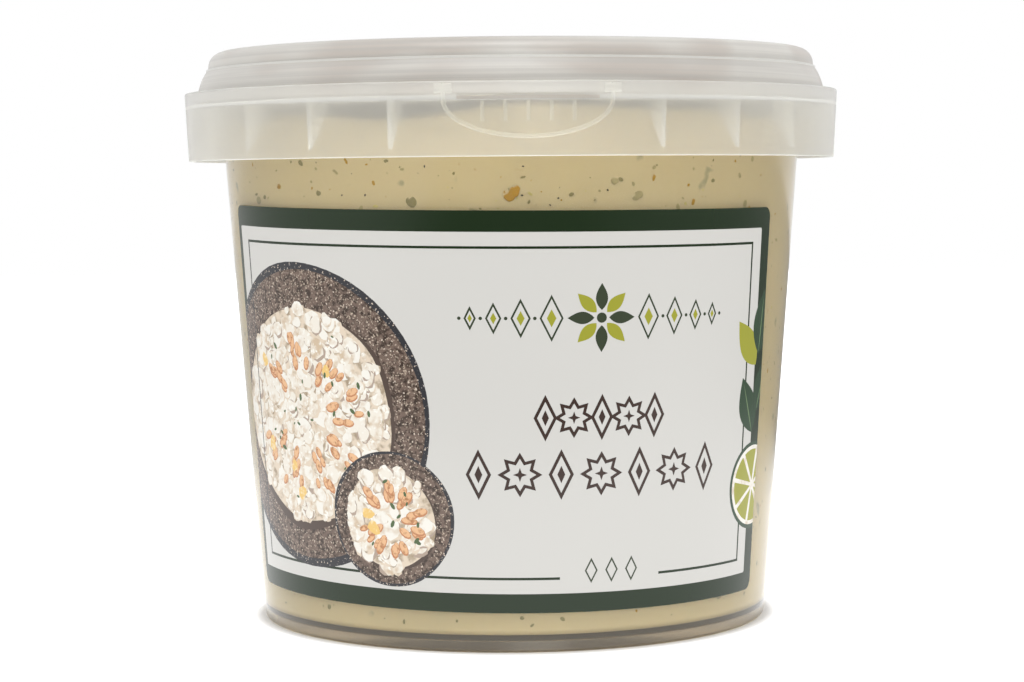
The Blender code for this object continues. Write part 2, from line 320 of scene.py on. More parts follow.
def settle(piece, modifier):
    """Keeps what the modifier makes as the piece's plain mesh, and takes it off."""
    graph = bpy.context.evaluated_depsgraph_get()
    result = bpy.data.meshes.new_from_object(piece.evaluated_get(graph))
    piece.modifiers.remove(modifier)
    piece.data = result


def grow(piece, tree, sizes):
    """Runs the tree on the piece with these sizes and keeps the result as its plain mesh."""
    grown = piece.modifiers.new(tree.name, "NODES")
    grown.node_group = tree
    for item in tree.interface.items_tree:
        if item.in_out == "INPUT" and item.name in sizes:
            grown[item.identifier] = sizes[item.name]
    settle(piece, grown)
    finishes = [finish for finish in piece.data.materials if finish]
    piece.data.materials.clear()  # the nodes leave an empty slot before the finish
    for finish in finishes:
        piece.data.materials.append(finish)


def maths(tree, operation, *values):
    """The result of one Math node."""
    return add(tree, "ShaderNodeMath", dict(enumerate(values)), operation=operation).outputs[0]


def turning_tree(finish):
    """Turns an outline of (radius, 0, height) points about Z, and closes seam and poles."""
    tree, sizes = geometry_tree("turned outline", {
        "Sides": "NodeSocketInt", "Start": "NodeSocketFloat",
    })
    points = add(tree, "GeometryNodeAttributeDomainSize", {"Geometry": sizes["Geometry"]})
    count = points.outputs["Point Count"]
    sheet = add(tree, "GeometryNodeMeshGrid", {
        "Vertices X": maths(tree, "ADD", sizes["Sides"], 1.0), "Vertices Y": count,
    })
    index = add(tree, "GeometryNodeInputIndex").outputs["Index"]
    column = maths(tree, "FLOOR", maths(tree, "DIVIDE", index, count))
    row = maths(tree, "SUBTRACT", index, maths(tree, "MULTIPLY", column, count))
    outline = add(tree, "GeometryNodeSampleIndex", {
        "Geometry": sizes["Geometry"],
        "Value": add(tree, "GeometryNodeInputPosition").outputs["Position"], "Index": row,
    }, data_type="FLOAT_VECTOR")
    point = add(tree, "ShaderNodeSeparateXYZ", {"Vector": outline.outputs["Value"]}).outputs
    turn = maths(tree, "MULTIPLY", maths(tree, "DIVIDE", column, sizes["Sides"]), 2 * math.pi)
    angle = maths(tree, "ADD", turn, sizes["Start"])
    place = add(tree, "ShaderNodeCombineXYZ", {
        "X": maths(tree, "MULTIPLY", point["X"], maths(tree, "SINE", angle)),
        "Y": maths(tree, "MULTIPLY", point["X"],
                   maths(tree, "MULTIPLY", maths(tree, "COSINE", angle), -1.0)),
        "Z": point["Z"],
    })
    wrapped = add(tree, "GeometryNodeSetPosition", {
        "Geometry": sheet.outputs["Mesh"], "Position": place.outputs["Vector"],
    })
    closed = add(tree, "GeometryNodeMergeByDistance", {
        "Geometry": wrapped.outputs["Geometry"], "Distance": MERGE,
    })
    close_tree(tree, closed.outputs["Geometry"], finish)
    return tree


def tidy_mesh(piece):
    """Turns the faces outward, shades them smooth and keeps real edges sharp."""
    shape = bmesh.new()
    shape.from_mesh(piece.data)
    bmesh.ops.recalc_face_normals(shape, faces=shape.faces)
    shape.to_mesh(piece.data)
    shape.free()
    piece.data.shade_smooth()
    piece.data.set_sharp_from_angle(angle=math.radians(SHARP))


def weigh_normals(piece):
    """Lets the large faces set the shading, so that flats stay flat beside rounded edges."""
    weigh = piece.modifiers.new("weigh", "WEIGHTED_NORMAL")
    weigh.keep_sharp = True
    weigh.weight = 100
    settle(piece, weigh)


def turned(name, outline, finish):
    """A closed body turned about Z from an outline that starts and ends on the axis."""
    mesh = bpy.data.meshes.new(name)
    corners = [(radius, 0, height) for radius, height in outline]
    mesh.from_pydata(corners, [(i, i + 1) for i in range(len(corners) - 1)], [])
    piece = new_piece(name, mesh)
    grow(piece, turning_tree(finish), {"Sides": SIDES, "Start": math.radians(FRONT)})
    tidy_mesh(piece)
    weigh_normals(piece)
    return piece


FLOW = (60.0, 4.0)  # the cloudy flow of the plastic: how fine, and with how much detail
FLOW_TINTS = (0.94, 1.06)
FLOW_RIPPLE = (0.35, 0.02 * MM)
GRAIN = (260.0, 2.0)
GRAIN_GLOSS = (0.92, 1.08)
PATCHES_AT = (20.24, 46.81, 47.84)  # a part of the noise whose patches lie where the lid shows darker reflections, as painted reflection
PATCHES_FINE = (48.0, 48.0, 90.0)
PATCHES_SET_IN = (0.48, 0.6)
# the darker, pinker tint of these patches is painted reflection of the dark surroundings
PATCHES_TINT = (0.8, 0.74, 0.71)
RINGS_FINE = (14.0, 14.0, 2200.0)
RINGS_SET_IN = (0.4, 0.65)
RINGS_TINT = 0.75
PLASTIC_IOR = 1.49


def blend(tree, share, first, second):
    """A colour between the first and the second."""
    return add(tree, "ShaderNodeMix", {0: share, 6: first, 7: second}, data_type="RGBA").outputs[2]


def shade(colour, factor):
    """The colour made darker or lighter."""
    return (*(min(channel * factor, 1) for channel in colour[:3]), 1)


def principled(tree, inputs):
    """Ends a material with a Principled shader."""
    shader = add(tree, "ShaderNodeBsdfPrincipled", inputs)
    add(tree, "ShaderNodeOutputMaterial", {"Surface": shader.outputs["BSDF"]})


def moulded_plastic(name, colour, clear, roughness, reflection_patches=0.0, streak=0.0):
    """Natural polypropylene: cloudy, with the ripple and fine rings that moulding leaves, and darker
    patches painted in as reflections of dark surroundings.
    """
    finish, tree, place = new_material(name)
    flow = noise(tree, place, *FLOW)
    tint = blend(tree, flow, *(shade(colour, factor) for factor in FLOW_TINTS))
    wide = add(tree, "ShaderNodeMapping", {
        "Vector": place, "Location": PATCHES_AT, "Scale": PATCHES_FINE,
    })
    patches = noise(tree, wide.outputs["Vector"], 1.0, 1.0)
    reflected_tint = (*(channel * factor for channel, factor in zip(colour, PATCHES_TINT)), 1)
    tint = blend(tree, ramp(tree, patches, *PATCHES_SET_IN, 0.0, reflection_patches), tint, reflected_tint)
    thin = add(tree, "ShaderNodeMapping", {"Vector": place, "Scale": RINGS_FINE})
    rings = noise(tree, thin.outputs["Vector"], 1.0, 3.0)
    faint = ramp(tree, rings, *RINGS_SET_IN, 0.0, streak, soft=False)
    tint = blend(tree, faint, tint, shade(colour, RINGS_TINT))
    gloss = (roughness * factor for factor in GRAIN_GLOSS)
    principled(tree, {
        "Base Color": tint, "IOR": PLASTIC_IOR, "Transmission Weight": clear,
        "Roughness": ramp(tree, noise(tree, place, *GRAIN), 0.0, 1.0, *gloss, soft=False),
        "Normal": bump(tree, flow, *FLOW_RIPPLE),
    })
    return finish


collar_inner_top = COLLAR_TOP_RADIUS - COLLAR_WALL
collar_inner_bottom = COLLAR_BOTTOM_RADIUS - COLLAR_WALL
foot_inner = FOOT_RADIUS - FOOT_HEEL - FOOT_WIDTH
cup_outline = rounded([
    (0, FLOOR_TOP, 0),
    (inner_radius(FLOOR_TOP), FLOOR_TOP, FLOOR_CORNER),
    (inner_radius(RIM_TOP), RIM_TOP, EDGE_ROUND),
    (wall_radius(RIM_TOP), RIM_TOP, EDGE_ROUND),
    (wall_radius(FLANGE_TOP), FLANGE_TOP, CORNER_ROUND),
    (collar_radius(FLANGE_TOP) - COLLAR_WALL, FLANGE_TOP, CORNER_ROUND),
    (collar_inner_top, COLLAR_TOP, EDGE_ROUND),
    (COLLAR_TOP_RADIUS, COLLAR_TOP, EDGE_ROUND),
    (collar_radius(FLANGE_TOP), FLANGE_TOP, 0),
    (collar_radius(FLANGE_BOTTOM), FLANGE_BOTTOM, 0),
    (COLLAR_BOTTOM_RADIUS, COLLAR_BOTTOM, EDGE_ROUND / 2),
    (collar_inner_bottom, COLLAR_BOTTOM, EDGE_ROUND / 2),
    (collar_radius(FLANGE_BOTTOM) - COLLAR_WALL, FLANGE_BOTTOM, EDGE_ROUND / 2),
    (wall_radius(FLANGE_BOTTOM), FLANGE_BOTTOM, EDGE_ROUND / 2),
    (wall_radius(FLOOR_TOP), FLOOR_TOP, 0),
    (FOOT_RADIUS, 0, FOOT_HEEL),
    (foot_inner, 0, EDGE_ROUND / 2),
    (foot_inner - EDGE_ROUND, FOOT_RECESS, EDGE_ROUND / 2),
    (0, FOOT_RECESS, 0),
])
CUP_LOOKS = {  # colour, how clear and how rough
    "clear wall": ((0.92, 0.90, 0.84), 0.975, 0.10),
    "cloudy collar": ((0.925, 0.91, 0.855), 0.85, 0.31),
    # whiter, less clear plastic that paints pale highlight lines on the collar's bottom edge, the
    # flange's edge and the lid's crease
    "painted highlight edge": ((0.97, 0.955, 0.90), 0.46, 0.33),
    # the foot ring's dark brown tint is painted shade, with the dip's colour painted in as if seen
    # through the ring
    "foot painted shade": ((0.68, 0.60, 0.47), 0.9, 0.12),
    "collar top": ((0.94, 0.93, 0.895), 0.84, 0.31),
    # the browner, less clear band behind the tab is painted shade
    "tab root painted shade": ((0.89, 0.84, 0.76), 0.56, 0.32),
}
cup_finishes = {name: moulded_plastic(name, *look) for name, look in CUP_LOOKS.items()}


def cup_look(middle):
    """The look of a face of the cup, by where its middle lies."""
    level = middle.z
    on_tab = abs(math.degrees(math.atan2(middle.x, -middle.y)) - FRONT) < TAB_ROOT_HALF_ANGLE
    if math.hypot(middle.x, middle.y) > collar_inner_bottom - EDGE_ROUND:
        if level < COLLAR_BOTTOM + EDGE_ROUND:
            return "painted highlight edge"
        if level < FLANGE_BOTTOM:
            return "cloudy collar"
        if level > FLANGE_TOP:
            return "collar top"
        return "tab root painted shade" if on_tab else "painted highlight edge"
    if level > FLANGE_BOTTOM - EDGE_ROUND and not on_tab:
        return "painted highlight edge"
    return "foot painted shade" if level < FLOOR_TOP else "clear wall"


cup = turned("clear_cup", cup_outline, cup_finishes["clear wall"])
for name in list(CUP_LOOKS)[1:]:
    cup.data.materials.append(cup_finishes[name])
for face in cup.data.polygons:
    face.material_index = list(CUP_LOOKS).index(cup_look(face.center))
cup.visible_shadow = False
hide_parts("tub")
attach(cup, "root")

# The collar's fins
# Twenty-two thin triangular webs under the flange, moulded with the cup, that prop the collar
# off the wall. They run to a point on the collar's inner face, and the tab has none behind it.
FIN_PITCH = 15.0  # degrees
FIN_THICKNESS = 0.7 * MM
FIN_TIP = 67.5 * MM
FIN_ROOT = 0.06 * MM  # how deep a fin reaches into what it joins
FIN_EDGE = 0.12 * MM
FIN_COUNT = 22


def collar_inner_radius(height):
    return collar_radius(height) - COLLAR_WALL


def repeat_tree(finish):
    """Sets copies of a mesh round the Z axis, a fixed angle apart."""
    tree, sizes = geometry_tree("repeated round the axis", {
        "Count": "NodeSocketInt", "First": "NodeSocketFloat", "Pitch": "NodeSocketFloat",
    })
    spots = add(tree, "GeometryNodePoints", {"Count": sizes["Count"]})
    index = add(tree, "GeometryNodeInputIndex").outputs["Index"]
    angle = maths(tree, "ADD", sizes["First"], maths(tree, "MULTIPLY", index, sizes["Pitch"]))
    turn = add(tree, "ShaderNodeCombineXYZ", {"Z": angle})
    copies = add(tree, "GeometryNodeInstanceOnPoints", {
        "Points": spots.outputs[0], "Instance": sizes["Geometry"],
        "Rotation": turn.outputs["Vector"],
    })
    close_tree(tree, copies.outputs["Instances"], finish)
    return tree


def closed_sweep(shape, sections):
    """Adds a closed body through a row of sections, each a loop of as many points."""
    rings = [[shape.verts.new(point) for point in section] for section in sections]
    count = len(rings[0])
    for ring, following in zip(rings, rings[1:]):
        for i in range(count):
            j = (i + 1) % count
            shape.faces.new((ring[i], ring[j], following[j], following[i]))
    shape.faces.new(rings[0])
    shape.faces.new(rings[-1])


fin_top = FLANGE_BOTTOM + FIN_ROOT
fin_corners = [
    (collar_inner_radius(FIN_TIP) + FIN_ROOT, FIN_TIP),
    (collar_inner_radius(fin_top) + FIN_ROOT, fin_top),
    (wall_radius(fin_top) - FIN_ROOT, fin_top),
]
fin_shape = bmesh.new()
closed_sweep(fin_shape, [
    [(side * FIN_THICKNESS / 2, -radius, height) for radius, height in fin_corners]
    for side in (-1, 1)
])
bmesh.ops.bevel(fin_shape, geom=fin_shape.edges[:], offset=FIN_EDGE, segments=2, affect="EDGES")
fins = new_piece("collar_fins", mesh_of("fin", fin_shape))
cloudy_fin = moulded_plastic("cloudy fin", (0.96, 0.95, 0.91), 0.82, 0.35)
grow(fins, repeat_tree(cloudy_fin), {
    "Count": FIN_COUNT,
    "First": math.radians(FRONT + 1.5 * FIN_PITCH),
    "Pitch": math.radians(FIN_PITCH),
})
tidy_mesh(fins)
fins.visible_shadow = False
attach(fins, "root")

# The tear tab
# A half-oval tongue in the front of the collar, outlined by a raised edge, with a small lug at
# each top corner and upright grip ribs on its face. It is torn off to open the tub.
TAB_SHOULDER = 73.8 * MM
TAB_BOTTOM = 69.05 * MM
TAB_RIB = 0.55 * MM
TAB_RELIEF = 0.14 * MM
TAB_STATIONS = 96
RIB_SIDES = 10
BEAD_STEPS = 6
LUG_WIDTH = 2.3 * MM
LUG_HEIGHT = 1.3 * MM
LUG_RELIEF = 0.2 * MM
GRIP_COUNT = 5
GRIP_PITCH = 3.0 * MM
GRIP_WIDTH = 0.5 * MM
GRIP_RELIEF = 0.05 * MM
GRIP_BOTTOM = 71.0 * MM
GRIP_TOP = 73.6 * MM


def around(azimuth, radius, height):
    """A point from its azimuth in degrees, counted from -Y towards +X."""
    angle = math.radians(azimuth)
    return Vector((radius * math.sin(angle), -radius * math.cos(angle), height))


def on_collar(across, height, relief):
    """A point on the collar, a distance across from the tab's middle and a relief above it."""
    azimuth = FRONT + math.degrees(across / COLLAR_TOP_RADIUS)
    return around(azimuth, collar_radius(height) + relief, height)


def raised_bead(shape, path, width, relief):
    """A half-round bead along (across, height) points on the collar's face."""
    sections = []
    for i, (across, height) in enumerate(path):
        before = path[max(i - 1, 0)]
        after = path[min(i + 1, len(path) - 1)]
        run = Vector((after[0] - before[0], after[1] - before[1])).normalized()
        section = [
            on_collar(across - run.y * width / 2 * side, height + run.x * width / 2 * side,
                      -FIN_ROOT)
            for side in (-1, 1)
        ]
        for step in range(RIB_SIDES + 1):
            turn = math.pi * step / RIB_SIDES
            side = math.cos(turn) * width / 2
            section.append(on_collar(
                across - run.y * side, height + run.x * side, relief * math.sin(turn),
            ))
        sections.append(section)
    closed_sweep(shape, sections)


def bead_line(start, end):
    """A straight path of points for a bead."""
    shares = [step / BEAD_STEPS for step in range(BEAD_STEPS + 1)]
    return [tuple(a + (b - a) * share for a, b in zip(start, end)) for share in shares]


tab_half_width = math.radians(TAB_HALF_ANGLE) * COLLAR_TOP_RADIUS
rib_top = COLLAR_TOP - EDGE_ROUND
tab_edge = [(-tab_half_width, rib_top)]
for station in range(TAB_STATIONS + 1):
    turn = math.pi * station / TAB_STATIONS
    tab_edge.append((
        -tab_half_width * math.cos(turn),
        TAB_SHOULDER - (TAB_SHOULDER - TAB_BOTTOM) * math.sin(turn),
    ))
tab_edge.append((tab_half_width, rib_top))
tab_shape = bmesh.new()
raised_bead(tab_shape, tab_edge, TAB_RIB, TAB_RELIEF)
for rib in range(GRIP_COUNT):
    across = (rib - (GRIP_COUNT - 1) / 2) * GRIP_PITCH
    raised_bead(tab_shape, bead_line((across, GRIP_BOTTOM), (across, GRIP_TOP)),
                GRIP_WIDTH, GRIP_RELIEF)
for side in (-1, 1):
    middle = side * tab_half_width
    lug_path = bead_line((middle - LUG_WIDTH / 2, rib_top - LUG_HEIGHT / 2),
                         (middle + LUG_WIDTH / 2, rib_top - LUG_HEIGHT / 2))
    raised_bead(tab_shape, lug_path, LUG_HEIGHT, LUG_RELIEF)
cloudy_rib = moulded_plastic("cloudy rib", (0.96, 0.95, 0.90), 0.95, 0.34)
pale_lug = moulded_plastic("pale lug", (0.96, 0.95, 0.91), 0.88, 0.34)
tab = new_piece("tear_tab", mesh_of("tear_tab", tab_shape), cloudy_rib, pale_lug)
tidy_mesh(tab)
for face in tab.data.polygons:
    face.material_index = int(face.center.z > rib_top - LUG_HEIGHT)
tab.visible_shadow = False
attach(tab, "root")

# The lid
# A milky snap lid, moulded of polypropylene: a sunk panel that the foot of another tub stands
# in, a round bead about it, and a bulging shoulder whose lip snaps in behind the collar.
LID_WALL = 0.8 * MM
LID_TOP = 82.15 * MM
LID_LIP_BOTTOM = 74.4 * MM
LID_LIP_RADIUS = 45.9 * MM
LID_SHOULDER_RADIUS = 45.55 * MM
LID_SHOULDER_BOTTOM = 76.3 * MM
LID_BULGE_RADIUS = 45.25 * MM  # the corner that the shoulder's curve is pulled to
LID_BULGE_LEVEL = 78.0 * MM
LID_BULGE_STEPS = 10
LID_BEAD_BOTTOM = 79.3 * MM
LID_LEDGE = 0.3 * MM
CREASE = 0.3 * MM  # the height of the band that carries the crease's painted highlight line
LID_BEAD_RADIUS = 44.05 * MM
LID_BEAD_INNER_RADIUS = 40.5 * MM
LID_BEAD_ROUND = 2.15 * MM
LID_BEAD_INNER_ROUND = 0.8 * MM
LID_RECESS = 4.6 * MM
PANEL_STEP = 0.3 * MM
PANEL_STEP_RADIUS = 33.0 * MM
GATE_RADIUS = 2.4 * MM  # the shallow dimple that the plastic was injected through
GATE_DEPTH = 0.3 * MM
GATE_PIP = 0.5 * MM
PIP_ROUND = 0.1 * MM
GATE_ROUND = 0.2 * MM
PANEL_ROUND = 0.3 * MM
CREASE_ROUND = 0.12 * MM
LEDGE_ROUND = 0.08 * MM
FOLD = 0.97  # a point of the inner outline that comes nearer than this share of the wall goes


def bend(start, corner, end, steps):
    """A smooth curve from start to end, pulled to the corner."""
    points = []
    for step in range(steps + 1):
        t = step / steps
        points.append(Vector([
            (1 - t) ** 2 * a + 2 * t * (1 - t) * b + t ** 2 * c
            for a, b, c in zip(start, corner, end)
        ]))
    return points


def offset_outline(outline, distance):
    """The outline moved sideways to the right of its direction, without the folds at its bends."""
    moved = []
    for i, here in enumerate(outline):
        run = (outline[min(i + 1, len(outline) - 1)] - outline[max(i - 1, 0)]).normalized()
        moved.append(Vector((here.x + run.y * distance, here.y - run.x * distance)))
    return [
        point for point in moved
        if min((point - other).length for other in outline) > FOLD * distance
    ]


panel = LID_TOP - LID_RECESS
lid_outer = rounded([
    (0, panel - GATE_DEPTH + GATE_PIP / 2, 0),
    (GATE_PIP, panel - GATE_DEPTH + GATE_PIP / 2, PIP_ROUND),
    (GATE_PIP, panel - GATE_DEPTH, PIP_ROUND),
    (GATE_RADIUS, panel - GATE_DEPTH, GATE_ROUND),
    (GATE_RADIUS + GATE_DEPTH, panel, GATE_ROUND),
    (PANEL_STEP_RADIUS, panel, PANEL_ROUND),
    (PANEL_STEP_RADIUS + PANEL_STEP, panel - PANEL_STEP, PANEL_ROUND),
    (LID_BEAD_INNER_RADIUS, panel - PANEL_STEP, LID_BEAD_INNER_ROUND),
    (LID_BEAD_INNER_RADIUS, LID_TOP, LID_BEAD_INNER_ROUND),
    (LID_BEAD_RADIUS, LID_TOP, LID_BEAD_ROUND),
    (LID_BEAD_RADIUS, LID_BEAD_BOTTOM + CREASE, CREASE_ROUND),
    (LID_BEAD_RADIUS + LID_LEDGE, LID_BEAD_BOTTOM + CREASE, LEDGE_ROUND),
    (LID_BEAD_RADIUS + LID_LEDGE, LID_BEAD_BOTTOM, 0),
])
lid_outer += bend(
    (LID_BEAD_RADIUS + LID_LEDGE, LID_BEAD_BOTTOM), (LID_BULGE_RADIUS, LID_BULGE_LEVEL),
    (LID_SHOULDER_RADIUS, LID_SHOULDER_BOTTOM), LID_BULGE_STEPS,
)[1:]
lid_outer.append(Vector((LID_LIP_RADIUS, LID_LIP_BOTTOM + EDGE_ROUND)))
lid_inner = offset_outline(lid_outer, LID_WALL)
lid_inner[0] = Vector((0, panel - GATE_DEPTH - LID_WALL))
lip = rounded([
    (LID_LIP_RADIUS, LID_LIP_BOTTOM + EDGE_ROUND, 0),
    (LID_LIP_RADIUS, LID_LIP_BOTTOM, EDGE_ROUND),
    (LID_LIP_RADIUS - LID_WALL, LID_LIP_BOTTOM, EDGE_ROUND),
    (LID_LIP_RADIUS - LID_WALL, LID_LIP_BOTTOM + EDGE_ROUND, 0),
])
# The lid's darker patches are painted reflection; its fine rings are moulding marks.
milky = moulded_plastic("milky lid", (0.83, 0.805, 0.755), 0.36, 0.32, reflection_patches=0.7, streak=0.6)
lid = turned("snap_lid", lid_outer + lip[1:-1] + lid_inner[::-1], milky)
lid.data.materials.append(cup_finishes["painted highlight edge"])
# The band at the crease takes the whiter edge plastic: a painted highlight line.
for face in lid.data.polygons:
    face.material_index = int(LID_BEAD_BOTTOM < face.center.z < LID_BEAD_BOTTOM + CREASE)
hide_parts("lid")
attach(lid, "root")

# The dip
# Smooth baba ganoush, which fills the cup to just under the rim and touches it all round. Its
# top is a low uneven mound, spooned in and settled, and its colour a greyish cream.
DIP_LEVEL = 72.3 * MM
DIP_MOUND = 2.9 * MM
DIP_WAVES = ((2, 0.45 * MM, 0.9), (5, 0.6 * MM, 0.61), (9, 0.35 * MM, 1.57))
DIP_SWIRL = 0.3 * MM
DIP_TURNS = 9.0
WET = 0.08 * MM  # how far the dip reaches into the plastic, so that no air shows between
DIP_RINGS = 48
DIP_DARK = (0.675, 0.565, 0.32, 1)
DIP_PALE = (0.755, 0.64, 0.375, 1)
DROWNED_BITS = (  # how fine, where they set in and are full, their colour and their noise's layer
    (330.0, 0.66, 0.74, (0.30, 0.29, 0.17, 1), 3.0),
    (480.0, 0.69, 0.76, (0.50, 0.30, 0.10, 1), 11.0),
)
BIT_STRENGTH = 0.6
TOP_PAINTED_SHADE = 0.4  # the top takes this share of the colour where it faces up, as painted shade from the lid
TOP_TILT = 0.3


def dip_level(azimuth, share):
    """The dip's uneven top: a low mound with soft ripples, share being 1 at the wall."""
    angle = math.radians(azimuth)
    shore = sum(size * math.sin(waves * angle + phase) for waves, size, phase in DIP_WAVES)
    swirl = 4 * share * (1 - share) * DIP_SWIRL * math.sin(DIP_TURNS * share + angle)
    return DIP_LEVEL + DIP_MOUND * (1 - share ** 2) + share * (shore + swirl)


def dip_finish(name, tone, shine):
    """Cream with a slow drift in tone, soft drowned bits, and a little light passing through."""
    finish, tree, place = new_material(name)
    drift = noise(tree, place, 55.0, 5.0)
    cream = blend(tree, drift, shade(DIP_DARK, tone), shade(DIP_PALE, tone))
    for fine, low, high, colour, layer in DROWNED_BITS:
        spread = noise(tree, place, fine, 2.0, layer)
        cream = blend(tree, ramp(tree, spread, low, high, 0.0, BIT_STRENGTH), cream, colour)
    principled(tree, {
        "Base Color": cream, "Roughness": 0.5, "Specular IOR Level": shine,
        "Subsurface Weight": 0.15, "Subsurface Radius": (1.0, 0.7, 0.35),
        "Subsurface Scale": 1.2 * MM,
        "Normal": bump(tree, noise(tree, place, 700.0, 4.0), 0.3, 0.1 * MM),
    })
    return finish


dip_bottom = FLOOR_TOP - WET
dip_side = rounded([
    (0, dip_bottom, 0),
    (inner_radius(dip_bottom) + WET, dip_bottom, FLOOR_CORNER),
    (inner_radius(DIP_LEVEL) + WET, DIP_LEVEL, 0),
])[1:-1]
shore_radius = inner_radius(DIP_LEVEL) + WET
dip_shape = bmesh.new()
columns = []
for side in range(SIDES):
    azimuth = FRONT + 360 * side / SIDES
    points = [around(azimuth, radius, height) for radius, height in dip_side]
    for ring in range(DIP_RINGS):
        share = 1 - ring / DIP_RINGS
        points.append(around(azimuth, share * shore_radius, dip_level(azimuth, share)))
    columns.append([dip_shape.verts.new(point) for point in points])
base = dip_shape.verts.new((0, 0, dip_bottom))
crown = dip_shape.verts.new((0, 0, dip_level(0, 0)))
for column, following in zip(columns, columns[1:] + columns[:1]):
    for i in range(len(column) - 1):
        dip_shape.faces.new((column[i], following[i], following[i + 1], column[i + 1]))
    dip_shape.faces.new((base, following[0], column[0]))
    dip_shape.faces.new((crown, column[-1], following[-1]))
dip = new_piece("dip_filling", mesh_of("dip_filling", dip_shape),
                dip_finish("baba ganoush", 1.0, 0.3), dip_finish("dip top painted shade", TOP_PAINTED_SHADE, 0.0))
tidy_mesh(dip)
# Faces that look up take the darker finish without shine: painted shade under the lid.
for face in dip.data.polygons:
    face.material_index = int(face.normal.z > TOP_TILT)
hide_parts("dip")
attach(dip, "root")

# The flecks
# Chopped herb, spice, specks of charred skin and softer bits of aubergine, stirred through the
# dip. Each is an uneven chip that lies against the wall, pressed a little way into view.
CHIP_ROUGH = 0.5  # how far its surface wanders, as a share of its size
CHIP_GRAIN = 1900.0
CHIP_DEPTH = (0.1 * MM, 0.16 * MM)
CHIP_SLIM = (0.4, 0.9)
DROWNED = 0.085 * MM  # a bit shows its own colour where it stands this far out of the dip
FLECK_LOW = FLOOR_TOP + 1.2 * MM
HIDDEN_FROM, HIDDEN_TO = -64, 56  # degrees: no flecks lie behind the label
HIDDEN_LOW, HIDDEN_HIGH = 7.5 * MM, 57.5 * MM
FLECKS = {
    # kind: colour, number strewn, their smallest and largest size, and the bits that stand out,
    # each with its azimuth, height and size
    "herb": ((0.30, 0.26, 0.10), 420, 0.25, 0.85, (
        (-18.9, 60.7, 1.7), (-59.4, 61.8, 0.9), (-56.1, 61.4, 0.8), (-39.3, 61.9, 0.9),
        (2.1, 63.8, 0.8), (20.5, 63.4, 0.9), (11.1, 61.5, 0.8), (-44.2, 4.9, 0.9),
        (3.6, 3.8, 0.8), (10.0, 4.5, 0.8), (-43.6, 66.0, 1.1),
    )),
    "spice": ((0.50, 0.27, 0.004), 190, 0.22, 0.8, (
        (-0.5, 61.4, 1.9), (0.4, 61.9, 1.9), (1.0, 62.4, 1.0), (36.6, 60.4, 1.1),
        (-50.6, 62.9, 1.0), (-32.2, 66.1, 0.9), (-26.5, 63.2, 0.8), (27.4, 63.7, 1.2),
    )),
    "char": ((0.09, 0.068, 0.04), 420, 0.1, 0.26, (
        (-16.1, 65.3, 0.4), (2.1, 65.2, 0.35), (1.9, 61.4, 0.45), (7.1, 60.1, 0.35),
        (8.6, 61.0, 0.35), (-33.6, 61.6, 0.35), (-28.4, 61.6, 0.4), (18.0, 62.0, 0.35),
    )),
    "soft_bit": ((0.47, 0.40, 0.19), 420, 0.4, 1.5, ((-35.0, 64.8, 1.3), (23.7, 61.0, 1.2))),
    "seed": ((0.66, 0.58, 0.22), 130, 0.3, 0.7, ((-26.3, 60.1, 0.9), (3.4, 61.6, 0.8))),
}


def fleck_tree(finish):
    """Sets a chip on every point, sized and turned by its attributes, and roughens it."""
    tree, sizes = geometry_tree("flecks", {"Rough": "NodeSocketFloat", "Grain": "NodeSocketFloat"})
    chip = add(tree, "GeometryNodeMeshIcoSphere", {"Radius": 1.0, "Subdivisions": 2})
    turn, girth = (
        add(tree, "GeometryNodeInputNamedAttribute", {"Name": name}, data_type="FLOAT_VECTOR")
        for name in ("turn", "girth")
    )
    copies = add(tree, "GeometryNodeInstanceOnPoints", {
        "Points": sizes["Geometry"], "Instance": chip.outputs["Mesh"],
        "Rotation": turn.outputs["Attribute"], "Scale": girth.outputs["Attribute"],
    })
    real = add(tree, "GeometryNodeRealizeInstances", {"Geometry": copies.outputs["Instances"]})
    grain = add(tree, "ShaderNodeTexNoise", {
        "Vector": add(tree, "GeometryNodeInputPosition").outputs["Position"],
        "Scale": sizes["Grain"],
    })
    swing = add(tree, "ShaderNodeVectorMath", {
        0: grain.outputs["Color"], 1: (0.5, 0.5, 0.5),
    }, operation="SUBTRACT")
    half = add(tree, "ShaderNodeSeparateXYZ", {"Vector": girth.outputs["Attribute"]})
    reach = maths(tree, "MULTIPLY", half.outputs["X"], sizes["Rough"])
    push = add(tree, "ShaderNodeVectorMath", {
        0: swing.outputs["Vector"], "Scale": reach,
    }, operation="SCALE")
    rough = add(tree, "GeometryNodeSetPosition", {
        "Geometry": real.outputs["Geometry"], "Offset": push.outputs["Vector"],
    })
    close_tree(tree, rough.outputs["Geometry"], finish)
    return tree


def fleck_finish(kind, colour):
    """A wet bit of food, shaded as part of the smooth wall, that sinks softly into the dip."""
    finish, tree, place = new_material("fleck " + kind)
    tint = blend(tree, noise(tree, place, 420.0, 2.0), shade(colour, 0.7), shade(colour, 1.35))
    at = add(tree, "ShaderNodeSeparateXYZ", {"Vector": place}).outputs
    flat = add(tree, "ShaderNodeCombineXYZ", {"X": at["X"], "Y": at["Y"]}).outputs["Vector"]
    reach = add(tree, "ShaderNodeVectorMath", {0: flat}, operation="LENGTH").outputs["Value"]
    shore = maths(tree, "MULTIPLY_ADD", at["Z"], WALL_TAPER, inner_radius(0) + WET)
    out = ramp(tree, maths(tree, "SUBTRACT", reach, shore), 0.0, DROWNED)
    outward = add(tree, "ShaderNodeVectorMath", {0: flat}, operation="NORMALIZE")
    principled(tree, {
        "Base Color": blend(tree, out, DIP_PALE, tint), "Roughness": 0.45,
        "Specular IOR Level": 0.3, "Normal": outward.outputs["Vector"],
    })
    return finish


